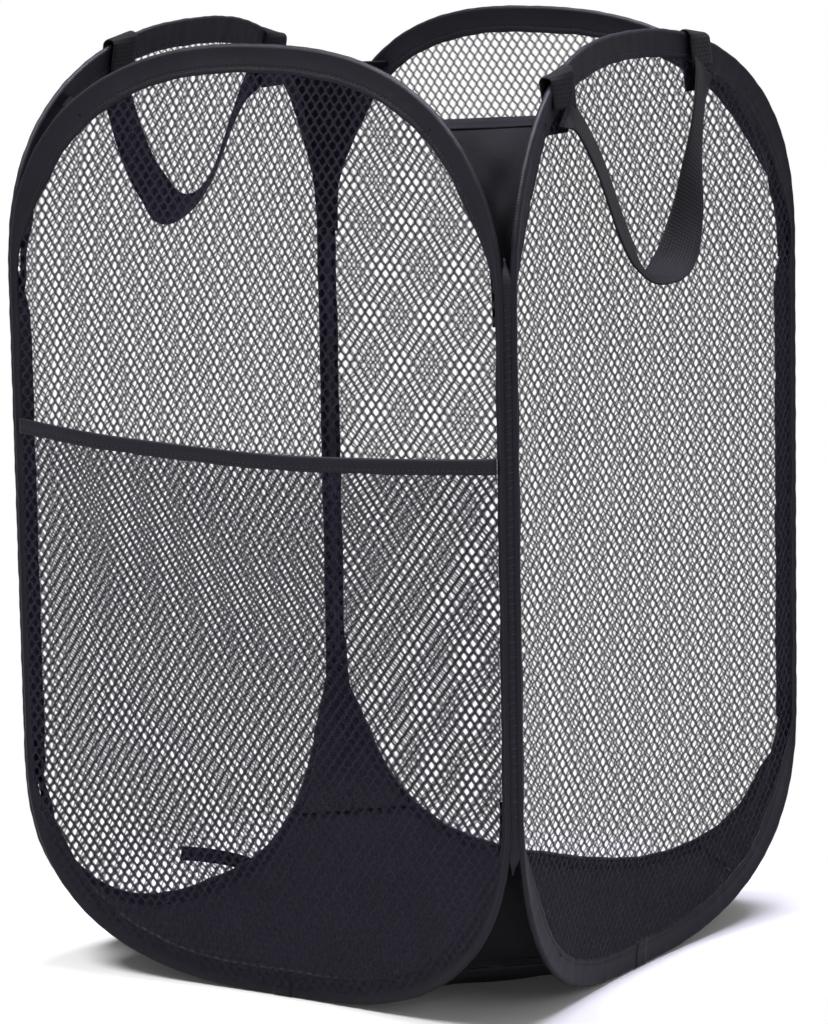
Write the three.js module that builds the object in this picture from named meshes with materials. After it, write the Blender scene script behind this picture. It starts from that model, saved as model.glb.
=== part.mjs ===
// Pop up laundry hamper, in millimetres, +Z up.
// Four sprung wire hoops stand in tape bindings round four net panels. Neighbouring hoops are sewn
// together along their straight middles, cloth gussets and webs fill the corners above and below,
// and a cloth base closes the bottom. The front panel carries a net pocket, and the right and left
// hoops each carry a webbing handle.
import * as THREE from 'three';
import { TessellateModifier } from 'three/addons/modifiers/TessellateModifier.js';
import { mergeVertices } from 'three/addons/utils/BufferGeometryUtils.js';

// Whole body
const bodyWidth = 360;
const hoopHeight = 586;
const topRise = 153;
const bottomRise = 142;
const topLean = 20;
const bottomLean = 20;
const hoopSquareness = 2.41;
const bottomFlat = 24;
const joinGap = 1;
const clearGap = 0.3;

// Wire and ferrule
const wireDiameter = 1.6;
const ferruleLength = 16;
const ferruleWall = 0.4;
const wireClearance = 0.2;

// Binding tape and net
const tapeThickness = 0.6;
const bindingWidth = 15;
const netThickness = 0.8;
const netClearance = 0.45;
const netSeat = 8;
const netPitchAcross = 72;
const netPitchUp = 96;
const netGapWidth = 46;
const netGapHeight = 62;
const netBorder = 4;
const netLeastGapShare = 0.15;
const netLongestEdge = 62;
const netSplits = 8;

// Corner cloth
const clothThickness = 0.8;
const hemThickness = 1.8;
const hemWidth = 7;
const clothLap = 9;
const gussetNarrowHeight = 428;
const gussetHemHeight = 545;
const gussetSag = 4;
const webNarrowHeight = 146;
const webHemHeight = 34;
const seamDepth = 4.6;
const seamStitch = 11;
const seamWaist = 3.4;

// Base
const baseThickness = 1.2;
const baseFlatShare = 0.5;

// Pocket
const pocketHeight = 352;
const pocketBulge = 14;
const pocketSag = 6;
const pocketTapeHeight = 9;
const pocketPitchAcross = 62;
const pocketPitchUp = 84;
const pocketGapWidth = 38;
const pocketGapHeight = 52;

// Handles
const strapWidth = 25;
const strapThickness = 1.4;
const handleSpread = 176;
const handleShift = -14;
const handleDrop = 128;
const handleApexShift = 16;
const handleBend = 9;
const tabDrop = 17;
const tabLap = 32;
const tabClearance = 1;

// Storage strap, from its sewn root on the left hoop to its free end
const storageWidth = 9;
const storageThickness = 1.2;
const storageRoot = [-60, 10];
const storageTip = [36, 34];

// Numbers of steps and sides
const quarterSteps = 8;
const wireHalfSides = 3;
const ferruleSides = 10;
const gussetAcrossSteps = 4;
const gussetAlongSteps = 7;
const baseSideSteps = 6;
const baseCornerSteps = 2;
const pocketTopSteps = 12;
const handleSteps = 32;
const tabBendSteps = 4;
const storageSteps = 3;

// Sizes that follow
const wireRadius = wireDiameter / 2;
const ferruleBore = wireRadius + wireClearance;
const ferruleRadius = ferruleBore + ferruleWall;
const channelRadius = ferruleRadius + wireClearance;
const beadAngles = [-100, -50, 0, 50, 100].map(THREE.MathUtils.degToRad);
const channelAngles = [110, 55, 0, -55, -110].map(THREE.MathUtils.degToRad);
const beadCorner = (channelRadius + tapeThickness) / Math.cos((beadAngles[1] - beadAngles[0]) / 2);
const channelCorner = channelRadius / Math.cos((channelAngles[0] - channelAngles[1]) / 2);
const slotHalf = netThickness / 2 + netClearance;
const bodyHalf = slotHalf + tapeThickness;
const panelAt = bodyWidth / 2;
const hingeInset = beadCorner + clearGap;
const ringHalf = panelAt - hingeInset - beadCorner - clearGap;
const outerHalf = ringHalf + beadCorner;
const wireLow = beadCorner;
const wireHigh = hoopHeight - beadCorner;
const sideLow = bottomRise;
const sideHigh = hoopHeight - topRise;
const roundPower = 2 / hoopSquareness;
const flatHalf = bottomFlat / 2;
const hoopSteps = 2 * (2 + 2 * quarterSteps);
const tapeEnd = bindingWidth - beadCorner;
const strapBend = beadCorner + tabClearance + strapThickness / 2;

const colours = {
  binding: 0x26262c,
  net: 0x2c2c31,
  cloth: 0x1d1d21,
  webbing: 0x242427,
  wire: 0x8c8e92,
  ferrule: 0xb4b6ba,
};

function finish(colour, roughness, metalness = 0) {
  return new THREE.MeshStandardMaterial({ color: colour, roughness, metalness });
}

// How far the sprung hoops lean in at their rounded ends
function bow(x, z) {
  const across = 1 - Math.min(1, (x / outerHalf) ** 2);
  const up = Math.max(0, (z - sideHigh) / topRise);
  const down = Math.max(0, (sideLow - z) / bottomRise);
  return across * (topLean * up + bottomLean * down);
}

// Half the width of the hoop's outline at a height, drawn in by an inset
function outlineX(z, inset) {
  const half = outerHalf - inset;
  const rise = z > sideHigh ? topRise : bottomRise;
  const past = z > sideHigh ? z - sideHigh : Math.max(0, sideLow - z);
  return half * (1 - (past / (rise - inset)) ** hoopSquareness) ** (1 / hoopSquareness);
}

// Height of the outline's lower or upper arc at a place across it
function arcShare(x, inset) {
  return (1 - (Math.abs(x) / (outerHalf - inset)) ** hoopSquareness) ** (1 / hoopSquareness);
}

function lowArc(x, inset) {
  return sideLow - (bottomRise - inset) * arcShare(x, inset);
}

function highArc(x, inset) {
  return sideHigh + (topRise - inset) * arcShare(x, inset);
}

// The wire's middle line: an upright ring whose ends meet at the middle of its flat bottom
class HoopCurve extends THREE.Curve {
  getUtoTmapping(share) {
    return share;
  }

  getPoint(share, target = new THREE.Vector3()) {
    const rightHalf = share <= 0.5;
    const step = (rightHalf ? share : 1 - share) * hoopSteps;
    let x = ringHalf;
    let z = sideLow;
    if (step < 1) {
      x = THREE.MathUtils.lerp(joinGap / 2, flatHalf, step);
      z = wireLow;
    } else if (step < 1 + quarterSteps) {
      const angle = (step - 1) / quarterSteps * Math.PI / 2;
      x = flatHalf + (ringHalf - flatHalf) * Math.sin(angle) ** roundPower;
      z = sideLow - (sideLow - wireLow) * Math.cos(angle) ** roundPower;
    } else if (step < 2 + quarterSteps) {
      z = THREE.MathUtils.lerp(sideLow, sideHigh, step - 1 - quarterSteps);
    } else {
      const angle = Math.min(1, (step - 2 - quarterSteps) / quarterSteps) * Math.PI / 2;
      x = ringHalf * Math.abs(Math.cos(angle)) ** roundPower;
      z = sideHigh + (wireHigh - sideHigh) * Math.sin(angle) ** roundPower;
    }
    return target.set(rightHalf ? x : -x, 0, z);
  }

  // The section's first side points away from the ring's middle, its second through the panel
  computeFrenetFrames(steps) {
    const frames = { tangents: [], normals: [], binormals: [] };
    for (let i = 0; i <= steps; i++) {
      const tangent = this.getTangent(i / steps);
      frames.tangents.push(tangent);
      frames.normals.push(new THREE.Vector3(tangent.z, 0, -tangent.x));
      frames.binormals.push(new THREE.Vector3(0, 1, 0));
    }
    return frames;
  }
}

const hoop = new HoopCurve();
const hoopFrames = hoop.computeFrenetFrames(hoopSteps);

// The ring's stations, moved outward or, with a value below zero, inward
function ringPoint(index, outward) {
  const point = hoop.getPoint(index / hoopSteps);
  return point.addScaledVector(hoopFrames.normals[index], outward);
}

// Moves each corner of a geometry by a function of its place
function reshape(geometry, move) {
  geometry.deleteAttribute('normal');
  geometry.deleteAttribute('uv');
  const solid = mergeVertices(geometry);
  const places = solid.attributes.position;
  const p = new THREE.Vector3();
  for (let i = 0; i < places.count; i++) {
    p.fromBufferAttribute(places, i);
    move(p);
    places.setXYZ(i, p.x, p.y, p.z);
  }
  solid.computeVertexNormals();
  return solid;
}

// Bends a flat panel piece to the lean of its hoop
function bowed(geometry) {
  return reshape(geometry, (p) => {
    p.y += bow(p.x, p.z);
  });
}

// A sheet of cloth: place() gets shares across and along it, and a share through its thickness
function cloth(acrossSteps, alongSteps, place) {
  const box = new THREE.BoxGeometry(1, 1, 1, acrossSteps, alongSteps, 1);
  box.translate(1 / 2, 1 / 2, 0);
  return reshape(box, (p) => place(p.x, p.y, p.z, p));
}

// Hoop parts
function wireGeometry() {
  const section = new THREE.Shape().absarc(0, 0, wireRadius, 0, 2 * Math.PI);
  return bowed(new THREE.ExtrudeGeometry(section, {
    steps: hoopSteps, extrudePath: hoop, curveSegments: wireHalfSides,
  }));
}

function ferruleGeometry() {
  const half = ferruleLength / 2;
  const profile = [
    [ferruleBore / Math.cos(Math.PI / ferruleSides), -half], [ferruleRadius, -half],
    [ferruleRadius, half], [ferruleBore / Math.cos(Math.PI / ferruleSides), half],
  ].map(([r, h]) => new THREE.Vector2(r, h));
  const tube = new THREE.LatheGeometry([...profile, profile[0]], ferruleSides);
  tube.rotateZ(-Math.PI / 2);
  tube.translate(0, bow(0, wireLow), wireLow);
  return reshape(tube, () => {});
}

function bindingGeometry() {
  const mouth = Math.sqrt(channelCorner ** 2 - slotHalf ** 2);
  const around = (angles, radius) => angles.map((a) => new THREE.Vector2(
    radius * Math.cos(a), radius * Math.sin(a),
  ));
  const section = new THREE.Shape([
    ...around(beadAngles, beadCorner),
    new THREE.Vector2(-tapeEnd, bodyHalf), new THREE.Vector2(-tapeEnd, slotHalf),
    new THREE.Vector2(-mouth, slotHalf),
    ...around(channelAngles, channelCorner),
    new THREE.Vector2(-mouth, -slotHalf),
    new THREE.Vector2(-tapeEnd, -slotHalf), new THREE.Vector2(-tapeEnd, -bodyHalf),
  ]);
  return bowed(new THREE.ExtrudeGeometry(section, { steps: hoopSteps, extrudePath: hoop }));
}

// The part of a convex gap that lies inside a convex border that runs counter-clockwise
function clipped(gap, border) {
  let kept = gap;
  border.forEach((from, i) => {
    const to = border[(i + 1) % border.length];
    const inside = (p) => (to.x - from.x) * (p.y - from.y) - (to.y - from.y) * (p.x - from.x);
    const next = [];
    kept.forEach((p, k) => {
      const q = kept[(k + 1) % kept.length];
      if (inside(p) >= 0) next.push(p);
      if (inside(p) * inside(q) < 0) next.push(p.clone().lerp(q, inside(p) / (inside(p) - inside(q))));
    });
    kept = next;
  });
  return kept;
}

// A net: an outline with staggered diamond gaps below a height, cut off beside the binding
function netGeometry(outline, highest, pitchAcross, pitchUp, gapWidth, gapHeight) {
  const border = ringOutline(tapeEnd + netBorder);
  const shape = new THREE.Shape(outline);
  const columns = Math.ceil(bodyWidth / pitchAcross);
  const rows = Math.ceil(2 * hoopHeight / pitchUp);
  const smallest = netLeastGapShare * gapWidth * gapHeight / 2;
  for (let row = 0; row <= rows; row++) {
    for (let column = -columns; column <= columns; column++) {
      const x = (column + (row % 2) / 2) * pitchAcross;
      const z = row * pitchUp / 2;
      const gap = clipped([[0, 1], [-1, 0], [0, -1], [1, 0]].map(([across, up]) => new THREE.Vector2(
        x + across * gapWidth / 2, z + up * gapHeight / 2,
      )), border);
      if (gap.length > 2 && THREE.ShapeUtils.area(gap) > smallest && z + gapHeight / 2 < highest) {
        shape.holes.push(new THREE.Path(gap.reverse()));
      }
    }
  }
  const sheet = new THREE.ExtrudeGeometry(shape, { depth: netThickness, bevelEnabled: false });
  const plate = new TessellateModifier(netLongestEdge, netSplits).modify(sheet);
  plate.rotateX(Math.PI / 2);
  plate.translate(0, netThickness / 2, 0);
  return plate;
}

// The ring's stations at an inset, counter-clockwise, without the two where the tape's ends meet
function ringOutline(inset, first = 1, last = hoopSteps - 1) {
  const outline = [];
  for (let i = first; i <= last; i++) {
    const edge = ringPoint(i, -inset);
    outline.push(new THREE.Vector2(edge.x, edge.z));
  }
  return outline;
}

function panelNetGeometry() {
  return bowed(netGeometry(
    ringOutline(tapeEnd - netSeat), 2 * hoopHeight,
    netPitchAcross, netPitchUp, netGapWidth, netGapHeight,
  ));
}

// Pocket: its sides and bottom meet the inner edge of the front binding, its top hangs open
const pocketInset = tapeEnd + clearGap;
const pocketHalf = ringHalf - pocketInset;
const pocketLayer = netThickness / 2 + clearGap + bodyHalf;

function pocketDip(x) {
  return pocketSag * (1 - (x / pocketHalf) ** 2);
}

function pocketOut(x, z) {
  const rise = THREE.MathUtils.clamp(z / (pocketHeight - pocketTapeHeight - pocketSag), 0, 1);
  const open = (1 - Math.min(1, (x / pocketHalf) ** 2)) * rise ** 2;
  return pocketLayer + pocketBulge * open - bow(x, z);
}

// The lower part of the ring at an inset, counter-clockwise from its left side to its right side
function pocketRing(inset) {
  const sideStep = 1 + quarterSteps;
  return [...ringOutline(inset, hoopSteps - sideStep), ...ringOutline(inset, 1, sideStep)];
}

function pocketNetGeometry() {
  const top = pocketHeight - pocketTapeHeight / 2;
  const outline = pocketRing(pocketInset);
  for (let i = 0; i <= pocketTopSteps; i++) {
    const x = THREE.MathUtils.lerp(pocketHalf, -pocketHalf, i / pocketTopSteps);
    outline.push(new THREE.Vector2(x, top - pocketDip(x)));
  }
  const highest = pocketHeight - pocketTapeHeight - pocketSag - netBorder;
  const plate = netGeometry(
    outline, highest, pocketPitchAcross, pocketPitchUp, pocketGapWidth, pocketGapHeight,
  );
  return reshape(plate, (p) => {
    p.y -= pocketOut(p.x, p.z);
  });
}

function pocketTapeGeometry() {
  const high = pocketHeight;
  const low = pocketHeight - pocketTapeHeight;
  const roof = high - pocketTapeHeight / 2 + clearGap;
  const section = new THREE.Shape([
    [-bodyHalf, low], [-slotHalf, low], [-slotHalf, roof], [slotHalf, roof], [slotHalf, low],
    [bodyHalf, low], [bodyHalf, high], [-bodyHalf, high],
  ].map(([y, z]) => new THREE.Vector2(y, z)));
  const tape = new THREE.ExtrudeGeometry(section, {
    depth: 2 * pocketHalf, steps: pocketTopSteps, bevelEnabled: false,
  });
  const across = new THREE.Vector3(1, 0, 0);
  const through = new THREE.Vector3(0, 1, 0);
  const up = new THREE.Vector3(0, 0, 1);
  tape.applyMatrix4(new THREE.Matrix4().makeBasis(through, up, across));
  tape.translate(-pocketHalf, 0, 0);
  return reshape(tape, (p) => {
    p.y -= pocketOut(p.x, pocketHeight);
    p.z -= pocketDip(p.x);
  });
}

// Cloth between two neighbouring hoops, drawn for the corner of the front and right panels
const outwardDiagonal = new THREE.Vector3(1, -1, 0).normalize();
const alongDiagonal = new THREE.Vector3(1, 1, 0).normalize();

function mirrored(point) {
  return new THREE.Vector3(-point.y, -point.x, point.z);
}

function cornerEdge(z) {
  const x = outlineX(z, clothLap);
  const stand = bodyHalf + clearGap + hemThickness / 2;
  return new THREE.Vector3(x, -panelAt + bow(x, z) + stand, z);
}

function cornerClothGeometry(narrowHeight, wideHeight) {
  const hemStart = wideHeight - Math.sign(wideHeight - narrowHeight) * hemWidth;
  const turn = Math.sign(wideHeight - narrowHeight);
  return cloth(gussetAcrossSteps, gussetAlongSteps, (across, along, through, p) => {
    const row = Math.round(along * gussetAlongSteps);
    const plainShare = Math.min(1, row / (gussetAlongSteps - 1));
    const z = row < gussetAlongSteps
      ? THREE.MathUtils.lerp(narrowHeight, hemStart, plainShare) : wideHeight;
    const thickness = row < gussetAlongSteps - 1 ? clothThickness : hemThickness;
    const edge = cornerEdge(z);
    const hang = gussetSag * 4 * across * (1 - across) * plainShare * (1 - plainShare);
    p.copy(edge).lerp(mirrored(edge), across);
    p.addScaledVector(outwardDiagonal, turn * through * thickness - hang);
  });
}

// The sewn seam between the beads of two neighbouring hoops, drawn in between its stitches
function seamGeometry() {
  const middle = (panelAt + ringHalf) / 2;
  const spacing = (panelAt - ringHalf) * Math.SQRT2;
  const thickness = spacing - 2 * beadCorner - 2 * clearGap;
  const length = sideHigh - sideLow;
  const steps = 2 * Math.round(length / seamStitch / 2);
  return cloth(1, steps, (across, along, through, p) => {
    const row = Math.round(along * steps);
    const depth = row % 2 ? seamWaist : seamDepth;
    p.set(middle, -middle, THREE.MathUtils.lerp(sideLow, sideHigh, along));
    p.addScaledVector(outwardDiagonal, (across - 1 / 2) * depth);
    p.addScaledVector(alongDiagonal, through * thickness);
  });
}

// Base: a sheet sewn to the four lower arcs, with its corners cut straight, lying flat in the middle
function baseBorder() {
  const reach = outlineX(webHemHeight, clothLap);
  const lower = clearGap + baseThickness / 2;
  const side = [];
  for (let i = 0; i <= baseSideSteps; i++) {
    const x = THREE.MathUtils.lerp(-reach, reach, i / baseSideSteps);
    const z = lowArc(x, clothLap);
    side.push(new THREE.Vector3(x, -panelAt + bow(x, z) + beadCorner + clearGap, z - lower));
  }
  const end = side[baseSideSteps];
  for (let i = 1; i < baseCornerSteps; i++) {
    side.push(end.clone().lerp(mirrored(end), i / baseCornerSteps));
  }
  const border = [];
  for (let quarter = 0; quarter < 4; quarter++) {
    border.push(...side.map((p) => p.clone().applyAxisAngle(new THREE.Vector3(0, 0, 1), quarter * Math.PI / 2)));
  }
  return border;
}

// Place along the border, counted in its steps, that a point of a square sheet belongs to
function borderStep(u, v, steps) {
  const ring = Math.max(Math.abs(u), Math.abs(v));
  let turns = 3 + (1 - v / ring) / 2;
  if (-v >= Math.abs(u)) turns = (u / ring + 1) / 2;
  else if (u >= Math.abs(v)) turns = 1 + (v / ring + 1) / 2;
  else if (v >= Math.abs(u)) turns = 2 + (1 - u / ring) / 2;
  return (turns + 4) * steps - baseCornerSteps / 2;
}

function baseGeometry() {
  const border = baseBorder();
  const steps = baseSideSteps + baseCornerSteps;
  const floor = baseThickness / 2;
  return cloth(steps, steps, (across, along, through, p) => {
    const ring = Math.max(Math.abs(2 * across - 1), Math.abs(2 * along - 1));
    const step = ring > 0 ? borderStep(2 * across - 1, 2 * along - 1, steps) : 0;
    const start = Math.floor(step);
    const edge = border[start % border.length].clone();
    edge.lerp(border[(start + 1) % border.length], step - start);
    const rise = Math.max(0, (ring - baseFlatShare) / (1 - baseFlatShare)) ** 2;
    const z = THREE.MathUtils.lerp(floor, edge.z, rise);
    p.set(edge.x * ring, edge.y * ring, z + through * baseThickness);
  });
}

// Handles, drawn on the panel's own face and then leaned with it
const handleEnds = [handleShift - handleSpread / 2, handleShift + handleSpread / 2];

function archSlope(x) {
  return (highArc(x + clearGap, beadCorner) - highArc(x - clearGap, beadCorner)) / (2 * clearGap);
}

function tabEndHeight(x) {
  return highArc(x, beadCorner) - tabDrop;
}

// A strap end that folds over the hoop: down the outside to the bend, down the inside to its hem
function tabGeometry(end) {
  const outer = tabEndHeight(end);
  const inner = highArc(end, beadCorner) - tabLap;
  const steps = tabBendSteps + 2;
  return cloth(2, steps, (across, along, through, p) => {
    const x = end + (across - 1 / 2) * strapWidth;
    const top = highArc(x, beadCorner);
    const step = Math.round(along * steps);
    const angle = THREE.MathUtils.clamp((step - 1) / tabBendSteps, 0, 1) * Math.PI;
    const radius = strapBend + through * strapThickness;
    let z = top + radius * Math.sin(angle) * Math.hypot(1, archSlope(x));
    if (step === 0) z = outer;
    if (step === steps) z = inner;
    p.set(x, -radius * Math.cos(angle), z);
    p.y += bow(x, z);
  });
}

function handlePath(share) {
  const side = 2 * share - 1;
  const middle = (handleEnds[0] + handleEnds[1]) / 2 + handleApexShift * (1 - side * side);
  const bend = handleBend / handleDrop;
  const climb = (Math.hypot(side, bend) - bend) / (Math.hypot(1, bend) - bend);
  const x = middle + handleSpread / 2 * Math.sin(side * Math.PI / 2);
  const starts = handleEnds.map((end) => tabEndHeight(end) - clearGap);
  const start = THREE.MathUtils.lerp(starts[0], starts[1], share);
  const stand = strapBend + strapWidth / 2 * Math.sin(share * Math.PI);
  const z = start - handleDrop * (1 - climb);
  return new THREE.Vector3(x, bow(x, z) - stand, z);
}

function handleGeometry() {
  const small = 1 / handleSteps / 10;
  return cloth(1, handleSteps, (across, along, through, p) => {
    const twist = along * Math.PI;
    const tangent = handlePath(Math.min(1, along + small)).sub(handlePath(Math.max(0, along - small)));
    if (along === 0 || along === 1) tangent.set(0, 0, along - 1 / 2);
    tangent.normalize();
    const side = new THREE.Vector3(Math.cos(twist), Math.sin(twist), 0);
    side.addScaledVector(tangent, -side.dot(tangent)).normalize();
    const face = tangent.clone().cross(side);
    p.copy(handlePath(along));
    p.addScaledVector(side, (across - 1 / 2) * strapWidth);
    p.addScaledVector(face, -through * strapThickness);
  });
}

function storageStrapGeometry() {
  const root = new THREE.Vector2(...storageRoot);
  const along = new THREE.Vector2(...storageTip).sub(root);
  const side = new THREE.Vector2(-along.y, along.x).normalize();
  const stand = beadCorner + clearGap + storageThickness / 2;
  return cloth(1, storageSteps, (across, share, through, p) => {
    const offset = (across - 1 / 2) * storageWidth;
    const x = root.x + along.x * share + side.x * offset;
    const z = root.y + along.y * share + side.y * offset;
    p.set(x, bow(x, z) - stand + through * storageThickness, z);
  });
}

// Turns a solid the right way out if its faces point in
function facingOut(geometry) {
  const solid = geometry;
  const places = solid.attributes.position;
  const corners = [0, 1, 2].map(() => new THREE.Vector3());
  let volume = 0;
  for (let i = 0; i < solid.index.count; i += 3) {
    corners.forEach((corner, k) => corner.fromBufferAttribute(places, solid.index.getX(i + k)));
    volume += corners[0].dot(corners[1].cross(corners[2]));
  }
  if (volume < 0) {
    for (let i = 0; i < solid.index.count; i += 3) {
      const first = solid.index.getX(i);
      solid.index.setX(i, solid.index.getX(i + 1));
      solid.index.setX(i + 1, first);
    }
    solid.computeVertexNormals();
  }
  return solid;
}

function piece(name, geometry, material) {
  const mesh = new THREE.Mesh(facingOut(geometry), material);
  mesh.name = name;
  return mesh;
}

// Assembly: each side is a group turned round the hamper's upright axis
const hamper = new THREE.Group();
const sides = ['front', 'right', 'back', 'left'];

function sideGroup(index) {
  const turned = new THREE.Group();
  turned.rotation.z = index * Math.PI / 2;
  const panel = new THREE.Group();
  panel.position.y = -panelAt;
  turned.add(panel);
  hamper.add(turned);
  return panel;
}

sides.forEach((side, index) => {
  const panel = sideGroup(index);
  panel.add(piece(`${side}_wire`, wireGeometry(), finish(colours.wire, 0.35, 1)));
  panel.add(piece(`${side}_ferrule`, ferruleGeometry(), finish(colours.ferrule, 0.4, 1)));
  panel.add(piece(`${side}_binding`, bindingGeometry(), finish(colours.binding, 0.6)));
  panel.add(piece(`${side}_net`, panelNetGeometry(), finish(colours.net, 0.7)));
  if (side === 'front') {
    panel.add(piece('pocket_net', pocketNetGeometry(), finish(colours.net, 0.7)));
    panel.add(piece('pocket_tape', pocketTapeGeometry(), finish(colours.binding, 0.6)));
  }
  if (side === 'right' || side === 'left') {
    panel.add(piece(`${side}_handle`, handleGeometry(), finish(colours.webbing, 0.8)));
    handleEnds.forEach((end, k) => {
      const name = `${side}_handle_${k ? 'second' : 'first'}_end`;
      panel.add(piece(name, tabGeometry(end), finish(colours.webbing, 0.8)));
    });
  }
  if (side === 'left') {
    panel.add(piece('storage_strap', storageStrapGeometry(), finish(colours.webbing, 0.8)));
  }

  const corner = new THREE.Group();
  corner.rotation.z = index * Math.PI / 2;
  const pair = `${side}_${sides[(index + 1) % sides.length]}`;
  corner.add(piece(`${pair}_seam`, seamGeometry(), finish(colours.binding, 0.7)));
  corner.add(piece(
    `${pair}_gusset`, cornerClothGeometry(gussetNarrowHeight, gussetHemHeight), finish(colours.cloth, 0.6),
  ));
  corner.add(piece(
    `${pair}_web`, cornerClothGeometry(webNarrowHeight, webHemHeight), finish(colours.cloth, 0.6),
  ));
  hamper.add(corner);
});
hamper.add(piece('base_panel', baseGeometry(), finish(colours.cloth, 0.65)));

export default hamper;
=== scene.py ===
"""A pop up laundry hamper: four sprung hoops in tape bindings round net panels, with cloth corners,
a cloth base, a net pocket and two webbing handles. Everything is in metres, with +Z up."""
import math

import bpy
import numpy as np
from mathutils import Matrix, Vector


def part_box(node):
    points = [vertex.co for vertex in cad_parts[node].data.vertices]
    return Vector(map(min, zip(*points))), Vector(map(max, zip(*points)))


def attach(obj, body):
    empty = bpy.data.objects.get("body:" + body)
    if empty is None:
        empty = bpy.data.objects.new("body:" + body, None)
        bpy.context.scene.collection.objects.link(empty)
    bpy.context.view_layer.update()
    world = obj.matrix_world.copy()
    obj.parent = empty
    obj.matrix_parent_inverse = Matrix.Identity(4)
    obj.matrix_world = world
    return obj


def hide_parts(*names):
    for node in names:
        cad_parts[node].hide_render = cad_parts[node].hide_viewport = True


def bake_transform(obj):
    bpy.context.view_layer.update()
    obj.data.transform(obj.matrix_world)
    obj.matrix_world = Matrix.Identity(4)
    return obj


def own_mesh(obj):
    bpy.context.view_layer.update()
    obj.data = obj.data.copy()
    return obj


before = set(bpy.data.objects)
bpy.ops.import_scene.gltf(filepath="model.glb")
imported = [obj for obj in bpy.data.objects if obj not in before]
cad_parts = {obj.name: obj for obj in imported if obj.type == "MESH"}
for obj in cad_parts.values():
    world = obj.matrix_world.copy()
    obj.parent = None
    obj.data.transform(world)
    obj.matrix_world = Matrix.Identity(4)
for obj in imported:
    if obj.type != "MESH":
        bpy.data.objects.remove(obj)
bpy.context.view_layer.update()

binding_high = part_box("front_binding")[1]

# The hoops, as the frame has them
PANEL_AT = 0.180
OUTER_HALF = binding_high.x
HOOP_HEIGHT = binding_high.z
SIDE_LOW = 0.142
SIDE_HIGH = HOOP_HEIGHT - 0.153
LEAN = 0.020
SQUARENESS = 2.41
WIRE_IN = 0.00243
FLAT_HALF = 0.012
ARC_POINTS = 300
HINGE_AT = 0.17727
FLOOR_GAP = 0.0001
SIDES = ["front", "right", "back", "left"]

# Binding tape. BEAD_WRAP is in degrees to each side of the wire
BEAD = 0.0021
BEAD_WRAP = 118
BEAD_POINTS = 15
TAPE_WIDTH = 0.0165
SIDE_TAPE = 0.0038
TAPE_HALF = 0.0010
FLANGE_DEPTH = 0.0118
FLANGE_LOW, FLANGE_HIGH = 0.101, 0.468
FLANGE_EASE = 0.025
FLANGE_TOP_EASE = 0.045
SEAM_STEPS = 150
SEAM_POINT = 0.014
SEAM_LEAST = 0.12
SEAM_BACK = 0.0012
SEAM_SHALLOW = 0.0022
SEAM_UNEVEN = 0.0006
SEAM_LEAN = 0.0007
TAPE_UNEVEN = 0.0007
TOP_EXTRA = 0.0012
LOW_EXTRA = 0.0008
EXTRA_FADE = 0.1
GATHER = 0.00012
ARC_GATHER = 0.00042
SLOW_PUCKER = 0.0005
BEAD_SWELL = 0.00018
LAP_HALF = 0.008
LAP_STAND = 0.00035
RING_STEPS = 760

# Thread. STITCH_ROW is the point of the tape's leg that the lock stitches pull in
STITCH_ROW = 4
STITCH_PITCH = 0.0034
STITCH_LENGTH = 0.0027
STITCH_WIDTH = 0.0006
STITCH_STAND = 0.00018
OVERCAST_TURNS = 66
OVERCAST_STEPS = 12
OVERCAST_HALF = 0.0040
OVERCAST_DEPTH = 0.0012
OVERCAST_THREAD = 0.00030

# Net
NET_STEP_ACROSS = 0.0068
NET_STEP_UP = 0.0091
NET_HOLE_WIDTH = 0.0035
NET_HOLE_HEIGHT = 0.0053
NET_KNOT = 0.0012
NET_RIDGE = 0.00030
NET_SLACK = 0.0012
NET_INSET = 0.0040
NET_SHIFT = {"front": 0.0, "right": 0.0011, "back": 0.0024, "left": 0.0006}

# Corner cloth and base. OPEN_PAIR is the corner, back left, where the loop of hoops is opened
CLOTH_THICKNESS = 0.0007
CLOTH_LAP = 0.009
CLOTH_STAND = 0.0009
CLOTH_SAG = 0.016
CLOTH_RIPPLE = 0.0009
CORNER_ROWS, CORNER_COLUMNS = 56, 35
GUSSET_NARROW = 0.428
GUSSET_HEM = 0.545
WEB_NARROW = 0.146
WEB_HEM = 0.034
HEM_WIDTH = 0.0075
BASE_FLAT_SHARE = 0.5
BASE_STAND = 0.0006
BASE_DROP = 0.0009
BASE_PUFF = 0.0035
BASE_RISE = 0.0012
BASE_SIDE_STEPS = 36
OPEN_PAIR = 2

# Pocket
POCKET_HEIGHT = 0.352
POCKET_SIDE = 0.0055
POCKET_HALF = OUTER_HALF - POCKET_SIDE
POCKET_INSET = 0.0052
POCKET_SHIFT = 0.0021
POCKET_LAYER = 0.00215
POCKET_TAPE = 0.0095
POCKET_BULGE = 0.014
POCKET_SAG = 0.006
POCKET_RIPPLE = 0.0016
POCKET_STEPS = 160
POCKET_STITCHES = 92
POCKET_STITCH = 0.0026

# Handles
STRAP_WIDTH = 0.025
STRAP_THICKNESS = 0.0014
HANDLE_ENDS = (-0.102, 0.074)
STRAP_STAND = WIRE_IN + 0.001 + STRAP_THICKNESS / 2
HANDLE_STEPS = 14
TAB_DROP = 0.017
TAB_LAP = 0.032
TAB_STEPS = 48
STORAGE_WIDTH = 0.0095
STORAGE_THICKNESS = 0.0012


# Placing
def bow(x, z):
    """How far the sprung hoops lean in at their rounded ends."""
    across = 1 - np.minimum(1, (x / OUTER_HALF) ** 2)
    up = np.maximum(0, (z - SIDE_HIGH) / (HOOP_HEIGHT - SIDE_HIGH))
    down = np.maximum(0, (SIDE_LOW - z) / SIDE_LOW)
    return across * LEAN * (up + down)


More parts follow.
